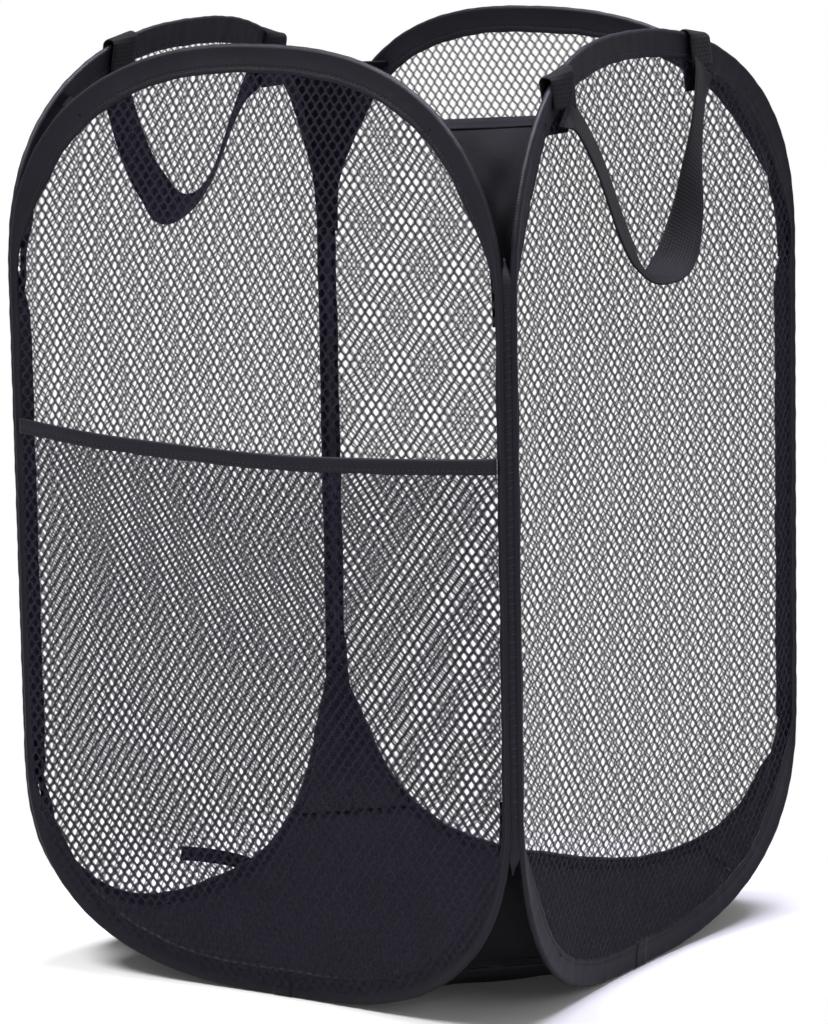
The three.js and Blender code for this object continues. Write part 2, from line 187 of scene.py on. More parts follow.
def on_side(points, side):
    """Points of a panel, as x, inward and z, taken to its side of the hamper."""
    turn = SIDES.index(side) * math.pi / 2
    p = np.array(points, float)
    x, y = p[..., 0], p[..., 1] - PANEL_AT
    out = p.copy()
    out[..., 0] = x * math.cos(turn) - y * math.sin(turn)
    out[..., 1] = x * math.sin(turn) + y * math.cos(turn)
    return out


def turned(points, quarter):
    """Points of the first corner, taken round to another one by quarter turns."""
    turn = quarter * math.pi / 2
    p = np.array(points, float)
    out = p.copy()
    out[..., 0] = p[..., 0] * math.cos(turn) - p[..., 1] * math.sin(turn)
    out[..., 1] = p[..., 0] * math.sin(turn) + p[..., 1] * math.cos(turn)
    return out


def leaned(points):
    """Points of a flat panel, leaned in with their hoop."""
    p = np.array(points, float)
    p[..., 1] += bow(p[..., 0], p[..., 2])
    return p


def resampled(line, steps):
    """The line's points again, evenly spaced, with each one's distance along it."""
    gaps = np.linalg.norm(np.diff(line, axis=0), axis=1)
    along = np.concatenate([[0], np.cumsum(gaps)])
    at = np.linspace(0, along[-1], steps + 1)
    return np.stack([np.interp(at, along, line[:, k]) for k in range(line.shape[1])], 1), at


def unit(vectors):
    return vectors / np.maximum(np.linalg.norm(vectors, axis=-1, keepdims=True), 1e-12)


def hoop_line(steps):
    """The wire's middle line from the bottom's middle, round by the right and back, in x and z."""
    power = 2 / SQUARENESS
    angle = np.linspace(0, math.pi / 2, ARC_POINTS)
    half, low, high = OUTER_HALF - WIRE_IN, WIRE_IN, HOOP_HEIGHT - WIRE_IN
    lower = np.stack([
        FLAT_HALF + (half - FLAT_HALF) * np.sin(angle) ** power,
        SIDE_LOW - (SIDE_LOW - low) * np.abs(np.cos(angle)) ** power,
    ], 1)
    upper = np.stack([
        half * np.abs(np.cos(angle)) ** power,
        SIDE_HIGH + (high - SIDE_HIGH) * np.sin(angle) ** power,
    ], 1)
    right = np.concatenate([[[0, low]], lower, upper])
    left = right[::-1] * [-1, 1]
    line, at = resampled(np.concatenate([right, left[1:]]), steps)
    tangent = unit(np.roll(line[:-1], -1, 0) - np.roll(line[:-1], 1, 0))
    tangent = np.concatenate([tangent, tangent[:1]])
    return line, at, tangent


def outline_x(z, inset):
    """Half the width of the hoop's outline at a height, drawn in by an inset."""
    high = z > SIDE_HIGH
    rise = np.where(high, HOOP_HEIGHT - SIDE_HIGH, SIDE_LOW) - inset
    past = np.where(high, z - SIDE_HIGH, np.maximum(0, SIDE_LOW - z))
    share = 1 - np.minimum(1, past / rise) ** SQUARENESS
    return (OUTER_HALF - inset) * share ** (1 / SQUARENESS)


def arc_share(x, inset):
    """How far up its arc the outline stands at a place across the hoop: 1 in the middle, 0 at the sides."""
    return (1 - (np.abs(x) / (OUTER_HALF - inset)) ** SQUARENESS) ** (1 / SQUARENESS)


def low_arc(x, inset):
    """The height of the outline's lower arc, drawn in by an inset."""
    return SIDE_LOW - (SIDE_LOW - inset) * arc_share(x, inset)


def high_arc(x, inset):
    """The height of the outline's upper arc, drawn in by an inset."""
    return SIDE_HIGH + (HOOP_HEIGHT - SIDE_HIGH - inset) * arc_share(x, inset)


def waves(at, length, counts, seed):
    """A smooth wavy value from about -1 to 1 that repeats over a length."""
    rng = np.random.default_rng(seed)
    total = np.zeros_like(np.asarray(at, float))
    for count in counts:
        total += np.sin(2 * math.pi * (count * at / length + rng.random())) * (0.5 + rng.random())
    return total / len(counts)


def smooth_step(value, start, end):
    """0 before a start and 1 past an end, with a soft change."""
    share = np.clip((value - start) / (end - start), 0, 1)
    return share * share * (3 - 2 * share)


# Meshes
def mesh_piece(name, points, faces, places, material):
    """A smooth mesh object. places, for each point, is where it lies on its cloth: along, across, face."""
    mesh = bpy.data.meshes.new(name)
    points = np.asarray(points, float).reshape(-1, 3)
    mesh.from_pydata(points.tolist(), [], [tuple(f) for f in faces])
    mesh.polygons.foreach_set("use_smooth", np.ones(len(mesh.polygons), bool))
    if places is not None:
        place = mesh.attributes.new("cloth_place", "FLOAT_VECTOR", "POINT")
        place.data.foreach_set("vector", np.asarray(places, np.float32).reshape(-1))
    mesh.update()
    made = bpy.data.objects.new(name, mesh)
    bpy.context.scene.collection.objects.link(made)
    mesh.materials.append(material)
    return made


def grid_faces(rows, columns, round_rows=False, round_columns=False, start=0):
    """The quads of a grid of points, which may close on itself either way."""
    r = np.arange(rows if round_rows else rows - 1)
    c = np.arange(columns if round_columns else columns - 1)
    r, c = np.meshgrid(r, c, indexing="ij")
    r2, c2 = (r + 1) % rows, (c + 1) % columns
    quads = np.stack([r * columns + c, r * columns + c2, r2 * columns + c2, r2 * columns + c], -1)
    return (quads.reshape(-1, 4) + start).tolist()


def tube_faces(steps, count):
    """The faces of a closed section carried along some steps, with a cap at each end."""
    caps = [tuple(range(count))[::-1], tuple(range((steps - 1) * count, steps * count))]
    return grid_faces(steps, count, round_columns=True) + caps


def section_places(at, section):
    """Where each point of a carried section lies on its cloth."""
    along = np.broadcast_to(np.asarray(at)[:, None], section.shape[:2])
    return np.stack([along, section[..., 0], section[..., 1]], -1)


def swept(name, line, across, through, section, at, material):
    """A closed section carried along a line. section is (steps, points, 2): across and through."""
    steps, count = len(line), section.shape[-2]
    section = np.broadcast_to(section, (steps, count, 2))
    points = line[:, None] + across[:, None] * section[..., :1] + through[:, None] * section[..., 1:]
    return mesh_piece(name, points, tube_faces(steps, count), section_places(at, section), material)


def sheet_solid(name, points, normals, thickness, places, material):
    """A sheet of cloth with two faces and a rim, from a grid of points."""
    rows, columns = points.shape[:2]
    offset = normals * thickness / 2
    count = rows * columns
    front = grid_faces(rows, columns)
    back = [f[::-1] for f in grid_faces(rows, columns, start=count)]
    rim = [r * columns for r in range(rows)] + [(rows - 1) * columns + c for c in range(1, columns)]
    rim += [r * columns + columns - 1 for r in range(rows - 2, -1, -1)] + list(range(columns - 2, 0, -1))
    edge = [(b, a, a + count, b + count) for a, b in zip(rim, rim[1:] + rim[:1])]
    both = np.concatenate([(points + offset).reshape(-1, 3), (points - offset).reshape(-1, 3)])
    places = np.concatenate([places.reshape(-1, 3)] * 2)
    return mesh_piece(name, both, front + back + edge, places, material)


def grid_normals(points):
    du = np.gradient(points, axis=0)
    dv = np.gradient(points, axis=1)
    return unit(np.cross(du, dv))


def stitches(name, centres, along, up, length, width, material):
    """A row of short threads. Each lies along its seam and stands a little out of the cloth."""
    centres, along, up = np.asarray(centres), unit(np.asarray(along)), unit(np.asarray(up))
    side = np.cross(along, up)
    shape = [(-1, 0, 0)]
    for a in (-0.55, 0.55):
        shape += [(a, 1, 0), (a, 0, 0.8), (a, -1, 0), (a, 0, -0.8)]
    shape += [(1, 0, 0)]
    shape = np.array(shape) * [length / 2, width / 2, width / 2]
    points = (centres[:, None] + along[:, None] * shape[None, :, :1]
              + side[:, None] * shape[None, :, 1:2] + up[:, None] * shape[None, :, 2:])
    one = [(0, 1 + k, 1 + (k + 1) % 4) for k in range(4)]
    one += [(1 + k, 5 + k, 5 + (k + 1) % 4, 1 + (k + 1) % 4) for k in range(4)]
    one += [(9, 5 + (k + 1) % 4, 5 + k) for k in range(4)]
    faces = [tuple(v + n * len(shape) for v in f) for n in range(len(centres)) for f in one]
    places = np.repeat(centres[:, None], len(shape), 1)
    return mesh_piece(name, points, faces, places, material)


def spline(rows, count):
    """A smooth curve through rows of numbers, with a count of steps from each row to the next."""
    rows = np.array(rows, float)
    ends = np.concatenate([[2 * rows[0] - rows[1]], rows, [2 * rows[-1] - rows[-2]]])
    found = []
    for k in range(len(rows) - 1):
        a, b, c, d = ends[k:k + 4]
        t = np.linspace(0, 1, count, endpoint=False)[:, None]
        found.append(0.5 * (2 * b + (c - a) * t + (2 * a - 5 * b + 4 * c - d) * t ** 2
                            + (3 * b - a - 3 * c + d) * t ** 3))
    return np.concatenate(found + [rows[-1:]])


# Materials
class Value:
    """A shader socket that takes part in sums."""

    def __init__(self, look, socket):
        self.look, self.socket = look, socket

    def maths(self, operation, *others):
        inputs = dict(enumerate([self, *others]))
        return self.look.node("ShaderNodeMath", {"operation": operation}, inputs)

    def __add__(self, other):
        return self.maths("ADD", other)

    __radd__ = __add__

    def __mul__(self, other):
        return self.maths("MULTIPLY", other)

    __rmul__ = __mul__

    def __sub__(self, other):
        return self.maths("SUBTRACT", other)

    def __rsub__(self, other):
        return self * -1 + other

    def sine(self):
        return self.maths("SINE")

    def unsigned(self):
        return self.maths("ABSOLUTE")

    def lowest(self, other):
        return self.maths("MINIMUM", other)

    def highest(self, other):
        return self.maths("MAXIMUM", other)

    def step_over(self, edge, soft):
        """0 below an edge and 1 above it, with a soft change."""
        return self.look.node("ShaderNodeMapRange", {"interpolation_type": "SMOOTHSTEP"}, {
            "Value": self, "From Min": edge - soft, "From Max": edge + soft,
        })


class Look:
    """A material and its nodes."""

    def __init__(self, name, **constants):
        self.material = bpy.data.materials.new(name)
        self.material.use_nodes = True
        self.tree = self.material.node_tree
        self.shader = self.tree.nodes["Principled BSDF"]
        for socket, value in constants.items():
            self.shader.inputs[socket.replace("_", " ")].default_value = value

    def node(self, kind, settings=None, inputs=None, output=0):
        made = self.tree.nodes.new(kind)
        for key, value in (settings or {}).items():
            setattr(made, key, value)
        for key, value in (inputs or {}).items():
            if isinstance(value, Value):
                self.tree.links.new(value.socket, made.inputs[key])
            else:
                made.inputs[key].default_value = value
        return Value(self, made.outputs[output])

    def split(self, vector):
        first = self.node("ShaderNodeSeparateXYZ", inputs={"Vector": vector})
        return [Value(self, socket) for socket in first.socket.node.outputs]

    def place(self):
        """Where a point lies on its cloth: along, across and face."""
        found = self.node("ShaderNodeAttribute", {"attribute_name": "cloth_place"}, output="Vector")
        return self.split(found)

    def spot(self):
        return self.node("ShaderNodeTexCoord", output="Object")

    def noise(self, scale, detail=3.0, roughness=0.55):
        return self.node("ShaderNodeTexNoise", inputs={
            "Vector": self.spot(), "Scale": scale, "Detail": detail, "Roughness": roughness,
        })

    def mixed(self, share, dark, light):
        return self.node("ShaderNodeMix", {"data_type": "RGBA"}, {0: share, 6: dark, 7: light}, output=2)

    def set(self, socket, value):
        self.tree.links.new(value.socket, self.shader.inputs[socket])

    def bump(self, height, distance, over=None):
        inputs = {"Height": height, "Distance": distance, "Strength": 1.0}
        if over:
            inputs["Normal"] = over
        return self.node("ShaderNodeBump", inputs=inputs)


def woven(name, dark, light, pitch, depth, roughness, specular, sheen, folds, rib=1.0):
    """Cloth with threads over and under each other, uneven dye and soft creases."""
    look = Look(name, Specular_IOR_Level=specular, Sheen_Weight=sheen, Sheen_Roughness=0.4)
    along, across = look.place()[:2]
    turn = 2 * math.pi / pitch
    warp = (along * turn * rib).sine()
    weft = (across * turn).sine()
    threads = warp * weft
    worn = look.noise(38.0, 4.0)
    fuzz = look.noise(420.0, 2.0)
    dye = (worn * 0.75 + fuzz * 0.35 - 0.1).lowest(1).highest(0)
    look.set("Base Color", look.mixed(dye, dark, light))
    look.set("Roughness", (worn * 0.22 + threads * 0.05 + (roughness - 0.11)).lowest(0.98))
    fine = look.bump(threads + fuzz * 0.6, depth)
    creases = look.noise(26.0, 5.0, 0.6)
    look.set("Normal", look.bump(creases, folds, over=fine))
    return look.material


def webbing_look():
    """Polyester webbing, with ribs along it in a herringbone."""
    look = Look("webbing", Specular_IOR_Level=0.16, Sheen_Weight=0.05, Sheen_Roughness=0.45)
    along, across = look.place()[:2]
    chevron = ((across * 820).sine().unsigned() * 0.9 + along * 2400).sine()
    ribs = (across * (2 * math.pi / 0.0019)).sine()
    worn = look.noise(55.0, 4.0)
    height = chevron * 0.6 + ribs * 0.5 + look.noise(500.0, 2.0) * 0.4
    dye = (worn * 0.8 + chevron * 0.12).lowest(1).highest(0)
    look.set("Base Color", look.mixed(dye, (0.0045, 0.0045, 0.0055, 1), (0.0140, 0.0138, 0.0160, 1)))
    look.set("Roughness", worn * 0.2 + 0.58)
    look.set("Normal", look.bump(height, 0.00012))
    return look.material


def net_look():
    """Knitted polyester yarn: fine dark filaments with air between them, so that light comes through."""
    look = Look("net_yarn", Specular_IOR_Level=0.18, Sheen_Weight=0.04, Sheen_Roughness=0.35)
    along, across, face = look.place()
    strands = (along * 5200 + across * 3900).sine() * 0.5 + (along * 4700 - across * 4100).sine() * 0.5
    worn = look.noise(30.0, 3.0)
    dye = (worn * 0.7 + strands * 0.2 + 0.1).lowest(1).highest(0)
    look.set("Base Color", look.mixed(dye, (0.0090, 0.0077, 0.0165, 1), (0.0300, 0.0265, 0.0500, 1)))
    look.set("Roughness", worn * 0.15 + 0.5)
    look.set("Alpha", (face * 0.84 + strands * 0.05 + worn * 0.10 + 0.12).lowest(1).highest(0))
    look.set("Normal", look.bump(strands, 0.00006))
    return look.material


def thread_look():
    """Twisted sewing thread."""
    look = Look("thread", Specular_IOR_Level=0.3, Sheen_Weight=0.1)
    twist = look.noise(900.0, 2.0)
    look.set("Base Color", look.mixed(twist, (0.008, 0.008, 0.010, 1), (0.030, 0.030, 0.034, 1)))
    look.set("Roughness", twist * 0.2 + 0.45)
    return look.material


def metal_look(name, dark, light, roughness):
    """Drawn wire or pressed sheet metal, with a fine uneven grain."""
    look = Look(name, Metallic=1.0)
    drawn = look.noise(240.0, 3.0)
    look.set("Base Color", look.mixed(drawn, dark, light))
    look.set("Roughness", drawn * 0.2 + roughness)
    look.set("Normal", look.bump(look.noise(900.0, 2.0), 0.00002))
    return look.material


TAPE = woven("binding_tape", dark=(0.0042, 0.0040, 0.0070, 1), light=(0.0120, 0.0113, 0.0205, 1),
             pitch=0.0009, depth=0.00006, roughness=0.46, specular=0.34, sheen=0.05, folds=0.0008, rib=0.5)
CLOTH = woven("corner_cloth", dark=(0.0034, 0.0034, 0.0044, 1), light=(0.0078, 0.0077, 0.0100, 1),
              pitch=0.0008, depth=0.00005, roughness=0.60, specular=0.12, sheen=0.03, folds=0.0010)
NET = net_look()
WEBBING = webbing_look()
THREAD = thread_look()
STEEL = metal_look("spring_wire", (0.36, 0.36, 0.37, 1), (0.58, 0.58, 0.60, 1), 0.28)
ZINC = metal_look("ferrule", (0.46, 0.46, 0.48, 1), (0.66, 0.66, 0.68, 1), 0.34)


def settle(piece, body, nodes=()):
    """The piece rides on a body and stands for its CAD nodes."""
    if nodes:
        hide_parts(*nodes)
    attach(piece, body)


# Bindings
ring, ring_at, ring_tangent = hoop_line(RING_STEPS)
RING_LENGTH = ring_at[-1]
ring_out = np.stack([ring_tangent[:, 1], -ring_tangent[:, 0]], 1)
bend = np.linalg.norm(np.roll(ring_tangent[:-1], -2, 0) - np.roll(ring_tangent[:-1], 2, 0), axis=1)
bend = np.concatenate([bend, bend[:1]])
bend = np.clip(bend / np.percentile(bend, 90), 0, 1)


def side_share(z):
    """1 along the straight sides, where the tapes turn into the corner, and 0 on the arcs."""
    low = smooth_step(z, FLANGE_LOW - FLANGE_EASE, FLANGE_LOW + FLANGE_EASE)
    return low * (1 - smooth_step(z, FLANGE_HIGH - FLANGE_EASE, FLANGE_HIGH + FLANGE_TOP_EASE))


def width_share(z):
    """How much of its full width the tape shows at a height."""
    return 1 - (1 - SIDE_TAPE / TAPE_WIDTH) * side_share(z)


def tape_section(side):
    """The folded tape round the wire, for each step of the ring, with its puckers and uneven width."""
    seed = 10 * SIDES.index(side)
    angles = np.radians(np.linspace(-BEAD_WRAP, BEAD_WRAP, BEAD_POINTS))
    bead = np.stack([BEAD * np.cos(angles), BEAD * np.sin(angles)], 1)
    edge = TAPE_WIDTH - WIRE_IN
    reach_shares = np.array([0.34, 0.50, 0.64, 0.74, 0.785, 0.83, 0.92, 1.0])
    heights = np.array([1.25, 1.05, 1.0, 0.95, 0.60, 0.95, 0.90, 0.45]) * TAPE_HALF
    top = np.stack([-edge * reach_shares, heights], 1)
    section = np.concatenate([bead, top, top[::-1] * [1, -1]])
    inward = np.clip(-section[:, 0] / edge, 0, 1)
    wide = waves(ring_at, RING_LENGTH, [3, 7, 19, 43, 71], seed + 1) * TAPE_UNEVEN
    wide = wide + TOP_EXTRA * np.clip((ring[:, 1] - SIDE_HIGH) / EXTRA_FADE, 0, 1)
    wide = wide + LOW_EXTRA * np.clip((SIDE_LOW - ring[:, 1]) / EXTRA_FADE, 0, 1)
    gather = waves(ring_at, RING_LENGTH, [97, 131, 163, 61], seed + 2)
    slow = waves(ring_at, RING_LENGTH, [11, 23, 31], seed + 3)
    pucker = gather * (GATHER + ARC_GATHER * bend) + slow * SLOW_PUCKER
    out = np.repeat(section[None], len(ring), 0)
    out[..., 0] *= np.where(section[:, 0] < 0, width_share(ring[:, 1])[:, None], 1)
    out[..., 0] -= wide[:, None] * inward ** 2
    out[..., 1] += pucker[:, None] * inward ** 1.5
    swell = waves(ring_at, RING_LENGTH, [53, 83, 149], seed + 4) * BEAD_SWELL
    out *= (1 + (swell[:, None] / BEAD) * (1 - inward))[..., None]
    return out


def place_ring(section, side, order=slice(None)):
    """The ring's stations, or those in an order, carried out by a section of across and through values."""
    x = ring[order, None, 0] + ring_out[order, None, 0] * section[..., 0]
    z = ring[order, None, 1] + ring_out[order, None, 1] * section[..., 0]
    points = np.stack([x, section[..., 1], np.maximum(z, FLOOR_GAP)], -1)
    return on_side(leaned(points), side)


def make_binding(side):
    section = tape_section(side)
    points = place_ring(section, side)[:-1]
    faces = grid_faces(*points.shape[:2], round_rows=True, round_columns=True)
    places = section_places(ring_at[:-1], section[:-1])
    made = mesh_piece(f"{side}_binding_tape", points, faces, places, TAPE)
    settle(made, side, [f"{side}_binding"])
    make_binding_join(side, section)
    make_lock_stitches(side, section)


def make_binding_join(side, section):
    """The tape's own ends, lapped at the middle of the bottom."""
    near = np.minimum(ring_at, RING_LENGTH - ring_at) < LAP_HALF
    before = np.where(near & (ring_at > RING_LENGTH / 2))[0][:-1]
    after = np.where(near & (ring_at < RING_LENGTH / 2))[0]
    order = np.concatenate([before, after])
    lap = section[order]
    points = place_ring(lap + np.sign(lap) * LAP_STAND, side, order)
    places = section_places(ring_at[order], lap)
    made = mesh_piece(f"{side}_binding_join", points, tube_faces(*lap.shape[:2]), places, TAPE)
    settle(made, side)


def make_lock_stitches(side, section):
    """Lock stitches on both faces of the tape, near its inner edge."""
    count = int(RING_LENGTH / STITCH_PITCH)
    at = (np.arange(count) + 0.5) * RING_LENGTH / count
    ahead = np.stack([np.interp(at, ring_at, ring_tangent[:, 0]), np.zeros(count),
                      np.interp(at, ring_at, ring_tangent[:, 1])], 1)
    rows = []
    for row, sign in ((BEAD_POINTS + STITCH_ROW, 1), (-1 - STITCH_ROW, -1)):
        across, through = section[:, row, 0], section[:, row, 1]
        rows.append(np.stack([
            np.interp(at, ring_at, ring[:, 0] + ring_out[:, 0] * across),
            np.interp(at, ring_at, through) + sign * STITCH_STAND,
            np.interp(at, ring_at, ring[:, 1] + ring_out[:, 1] * across),
        ], 1))
    flat = np.concatenate(rows)
    ahead = np.tile(ahead, (2, 1))
    out = np.repeat([[0.0, 1.0, 0.0], [0.0, -1.0, 0.0]], count, axis=0)
    tips = on_side(leaned(flat + ahead * STITCH_LENGTH / 2), side)
    tails = on_side(leaned(flat - ahead * STITCH_LENGTH / 2), side)
    lifted = on_side(leaned(flat + out * 0.001), side)
    centres = on_side(leaned(flat), side)
    made = stitches(f"{side}_binding_stitches", centres, tips - tails, lifted - centres,
                    STITCH_LENGTH, STITCH_WIDTH, THREAD)
    settle(made, side)


# Nets
def net_shapes():
    """The outline of one mesh of the net, between the middles of its strands, and of the hole in it."""
    high = NET_STEP_UP / 2 - NET_KNOT
    cell = [(0, high), (-0.5, NET_KNOT), (-0.5, 0), (-0.5, -NET_KNOT),
            (0, -high), (0.5, -NET_KNOT), (0.5, 0), (0.5, NET_KNOT)]
    cell = np.array([(x * NET_STEP_ACROSS, z) for x, z in cell])
    hole = np.array([(0, 0.5), (-0.36, 0.20), (-0.5, 0), (-0.36, -0.20),
                     (0, -0.5), (0.36, -0.20), (0.5, 0), (0.36, 0.20)])
    return cell, hole * [NET_HOLE_WIDTH, NET_HOLE_HEIGHT]


def inside_share(x, z, inset):
    """Below 1 inside the hoop's outline at an inset, and above 1 outside it."""
    middle = np.clip(z, SIDE_LOW, SIDE_HIGH)
    rise = np.where(z > SIDE_HIGH, HOOP_HEIGHT - SIDE_HIGH, SIDE_LOW) - inset
    return ((np.abs(x) / (OUTER_HALF - inset)) ** SQUARENESS
            + (np.abs(z - middle) / rise) ** SQUARENESS)


def drawn_in(flat, inset):
    """Points outside the outline are brought back onto it."""
    x, z = flat[..., 0], flat[..., 1]
    share = np.maximum(1, inside_share(x, z, inset)) ** (1 / SQUARENESS)
    middle = np.clip(z, SIDE_LOW, SIDE_HIGH)
    return np.stack([x / share, middle + (z - middle) / share], -1)


def lattice(shift, inset, highest):
    """The net's points in x and z, how high each stands as yarn, and its faces."""
    cell, hole = net_shapes()
    columns = math.ceil(OUTER_HALF / NET_STEP_ACROSS) + 1
    rows = math.ceil(2 * HOOP_HEIGHT / NET_STEP_UP) + 2
    i, j = np.meshgrid(np.arange(-columns, columns + 1), np.arange(rows))
    x = (i + (j % 2) / 2) * NET_STEP_ACROSS + shift
    z = j * NET_STEP_UP / 2
    keep = (inside_share(x, z, inset - 0.001) < 1) & (z < highest(x))
    centre = np.stack([x[keep], z[keep]], -1)
    corner = (centre[:, None] + cell).reshape(-1, 2)
    keys = np.round(corner * 1e6).astype(np.int64)
    _, first, index = np.unique(keys, axis=0, return_index=True, return_inverse=True)
    index = index.reshape(-1, 8)
    holes = (centre[:, None] + hole).reshape(-1, 2)
    hole_index = len(first) + np.arange(len(holes)).reshape(-1, 8)
    flat = np.concatenate([corner[first], holes])
    ridge = np.concatenate([np.ones(len(first)), np.zeros(len(holes))])
    after = np.roll(np.arange(8), -1)
    quads = np.stack([index, index[:, after], hole_index[:, after], hole_index], -1).reshape(-1, 4)
    return flat, ridge, quads


def make_net(side):
    flat, ridge, quads = lattice(NET_SHIFT[side], NET_INSET, lambda x: HOOP_HEIGHT)
    flat = drawn_in(flat, NET_INSET)
    x, z = flat[:, 0], flat[:, 1]
    calm = np.clip((1 - inside_share(x, z, TAPE_WIDTH)) * 4, 0, 1)
    slack = waves(x, 0.36, [1, 2, 4], 40 + SIDES.index(side)) * waves(z, 0.58, [1, 3, 5], 50)
    slack = slack * NET_SLACK * calm
    points = leaned(np.stack([x, slack - ridge * NET_RIDGE, z], -1))
    places = np.stack([x, z, ridge], -1)
    made = mesh_piece(f"{side}_net_panel", on_side(points, side), quads.tolist(), places, NET)
    settle(made, side, [f"{side}_net"])
    yarn_area(flat, quads)


def triangle_area(p, q):
    return np.abs(p[:, 0] * q[:, 1] - p[:, 1] * q[:, 0]) / 2


def yarn_area(flat, quads):
    a, b, c, d = (flat[quads[:, k]] for k in range(4))
    return float((triangle_area(b - a, c - a) + triangle_area(c - a, d - a)).sum())


# Pocket
def pocket_free(x):
    """1 in the middle of the pocket and 0 where it is sewn to the binding."""
    return 1 - np.minimum(1, (x / POCKET_HALF) ** 2)


def pocket_dip(x):
    """How far the pocket's top edge sags."""
    return POCKET_SAG * pocket_free(x)


def pocket_out(x, z):
    """How far the pocket stands out of the front panel."""
    rise = np.clip(z / (POCKET_HEIGHT - POCKET_TAPE - POCKET_SAG), 0, 1)
    ripple = POCKET_RIPPLE * np.sin(x * 42 + 0.6) * rise ** 3 * pocket_free(x)
    return POCKET_LAYER + POCKET_BULGE * (pocket_free(x) * rise ** 2) + ripple


def make_pocket():
    top = POCKET_HEIGHT - POCKET_TAPE / 2
    flat, ridge, quads = lattice(POCKET_SHIFT, POCKET_INSET, lambda x: top + 0.002 - pocket_dip(x))
    flat = drawn_in(flat, POCKET_INSET)
    x = flat[:, 0]
    z = np.minimum(flat[:, 1], top - pocket_dip(x))
    points = np.stack([x, bow(x, z) - pocket_out(x, z) - ridge * NET_RIDGE, z], -1)
    places = np.stack([x, z, ridge], -1)
    made = mesh_piece("pocket_net_panel", on_side(points, "front"), quads.tolist(), places, NET)
    settle(made, "front", ["pocket_net"])
    yarn_area(np.stack([x, z], -1), quads)


def make_pocket_tape():
    """The folded tape along the pocket's top, with its row of stitches."""
    x = np.linspace(-POCKET_HALF, POCKET_HALF, POCKET_STEPS + 1)
    line = np.stack([x, -pocket_out(x, POCKET_HEIGHT), POCKET_HEIGHT - pocket_dip(x)], -1)
    up = np.tile([0.0, 0.0, 1.0], (len(x), 1))
    ahead = unit(np.gradient(line, axis=0))
    through = unit(np.cross(up, ahead))
    angles = np.radians(np.linspace(-90, 90, 7))
    fold = np.stack([0.0009 * np.cos(angles) - 0.0009, 0.0011 * np.sin(angles)], 1)
    legs = np.array([(-0.0035, 0.0010), (-0.0062, 0.0010), (-0.0068, 0.0006), (-0.0074, 0.0010),
                     (-POCKET_TAPE, 0.0006)])
    section = np.concatenate([fold, legs, legs[::-1] * [1, -1]])
    section = np.repeat(section[None], len(x), 0)
    section[..., 0] += waves(x, 0.5, [9, 17, 31], 77)[:, None] * 0.0004 * (section[..., 0] < -0.003)
    tape = swept("pocket_top_tape", on_side(line, "front"), up, through, section, x, TAPE)
    settle(tape, "front", ["pocket_tape"])
    at = np.linspace(-POCKET_HALF + 0.003, POCKET_HALF - 0.003, POCKET_STITCHES)
    centre = np.stack([at, -pocket_out(at, POCKET_HEIGHT) - 0.0009,
                       POCKET_HEIGHT - pocket_dip(at) - 0.0068], -1)
    made = stitches("pocket_tape_stitches", on_side(centre, "front"), np.gradient(centre, axis=0),
                    np.tile([0.0, -1.0, 0.0], (len(at), 1)), POCKET_STITCH, STITCH_WIDTH, THREAD)
    settle(made, "front")


# Corner cloth
INWARD = np.array([-1.0, 1.0, 0.0]) / math.sqrt(2)
ACROSS_CORNER = np.array([1.0, 1.0, 0.0]) / math.sqrt(2)
SEAM_MIDDLE = np.array([HINGE_AT, -HINGE_AT, 0.0])
TURN_REACH = 0.013 / math.sqrt(2)
TURN_HEIGHT = 0.3
BODY_OF_PAIR = [("front", "right"), ("right", "back"), ("back", "left"), ("left", "front")]


def corner_edge(z):
    """The cloth's edge on the front hoop, at the corner with the right one."""
    x = outline_x(z, CLOTH_LAP)
    return np.stack([x, -PANEL_AT + bow(x, z) + TAPE_HALF + CLOTH_STAND, z], -1)


def other_edge(points):
    """The same edge on the right hoop, across the corner's diagonal."""
    return np.stack([-points[..., 1], -points[..., 0], points[..., 2]], -1)


def corner_points(narrow, wide):
    """A grid of points from a corner cloth's narrow end to its hem, and the shares along and across it."""
    share = np.linspace(0, 1, CORNER_ROWS)
    z = narrow + (wide - narrow) * share
    a = corner_edge(z)
    b = other_edge(a)
    t = np.linspace(0, 1, CORNER_COLUMNS)
    points = a[:, None] * (1 - t[:, None]) + b[:, None] * t[:, None]
    hang = 4 * t * (1 - t)
    sag = (share * (1 - share))[:, None] * hang * CLOTH_SAG
    ripple = np.sin(share * 21)[:, None] * np.sin(t * 7 + 0.5) * CLOTH_RIPPLE * hang
    points = points + INWARD * (sag - ripple)[..., None]
    return points, share, t


def corner_halves(index):
    """The parts of a corner's cloth and the bodies they follow. The back left corner's hoops share no
    joint, so its cloth is in two halves, each of which stays with its own hoop."""
    if index != OPEN_PAIR:
        return [(slice(None), BODY_OF_PAIR[index], "")]
    middle = CORNER_COLUMNS // 2
    return [(slice(middle + 1), ("back",), "_first"), (slice(middle, None), ("left",), "_second")]


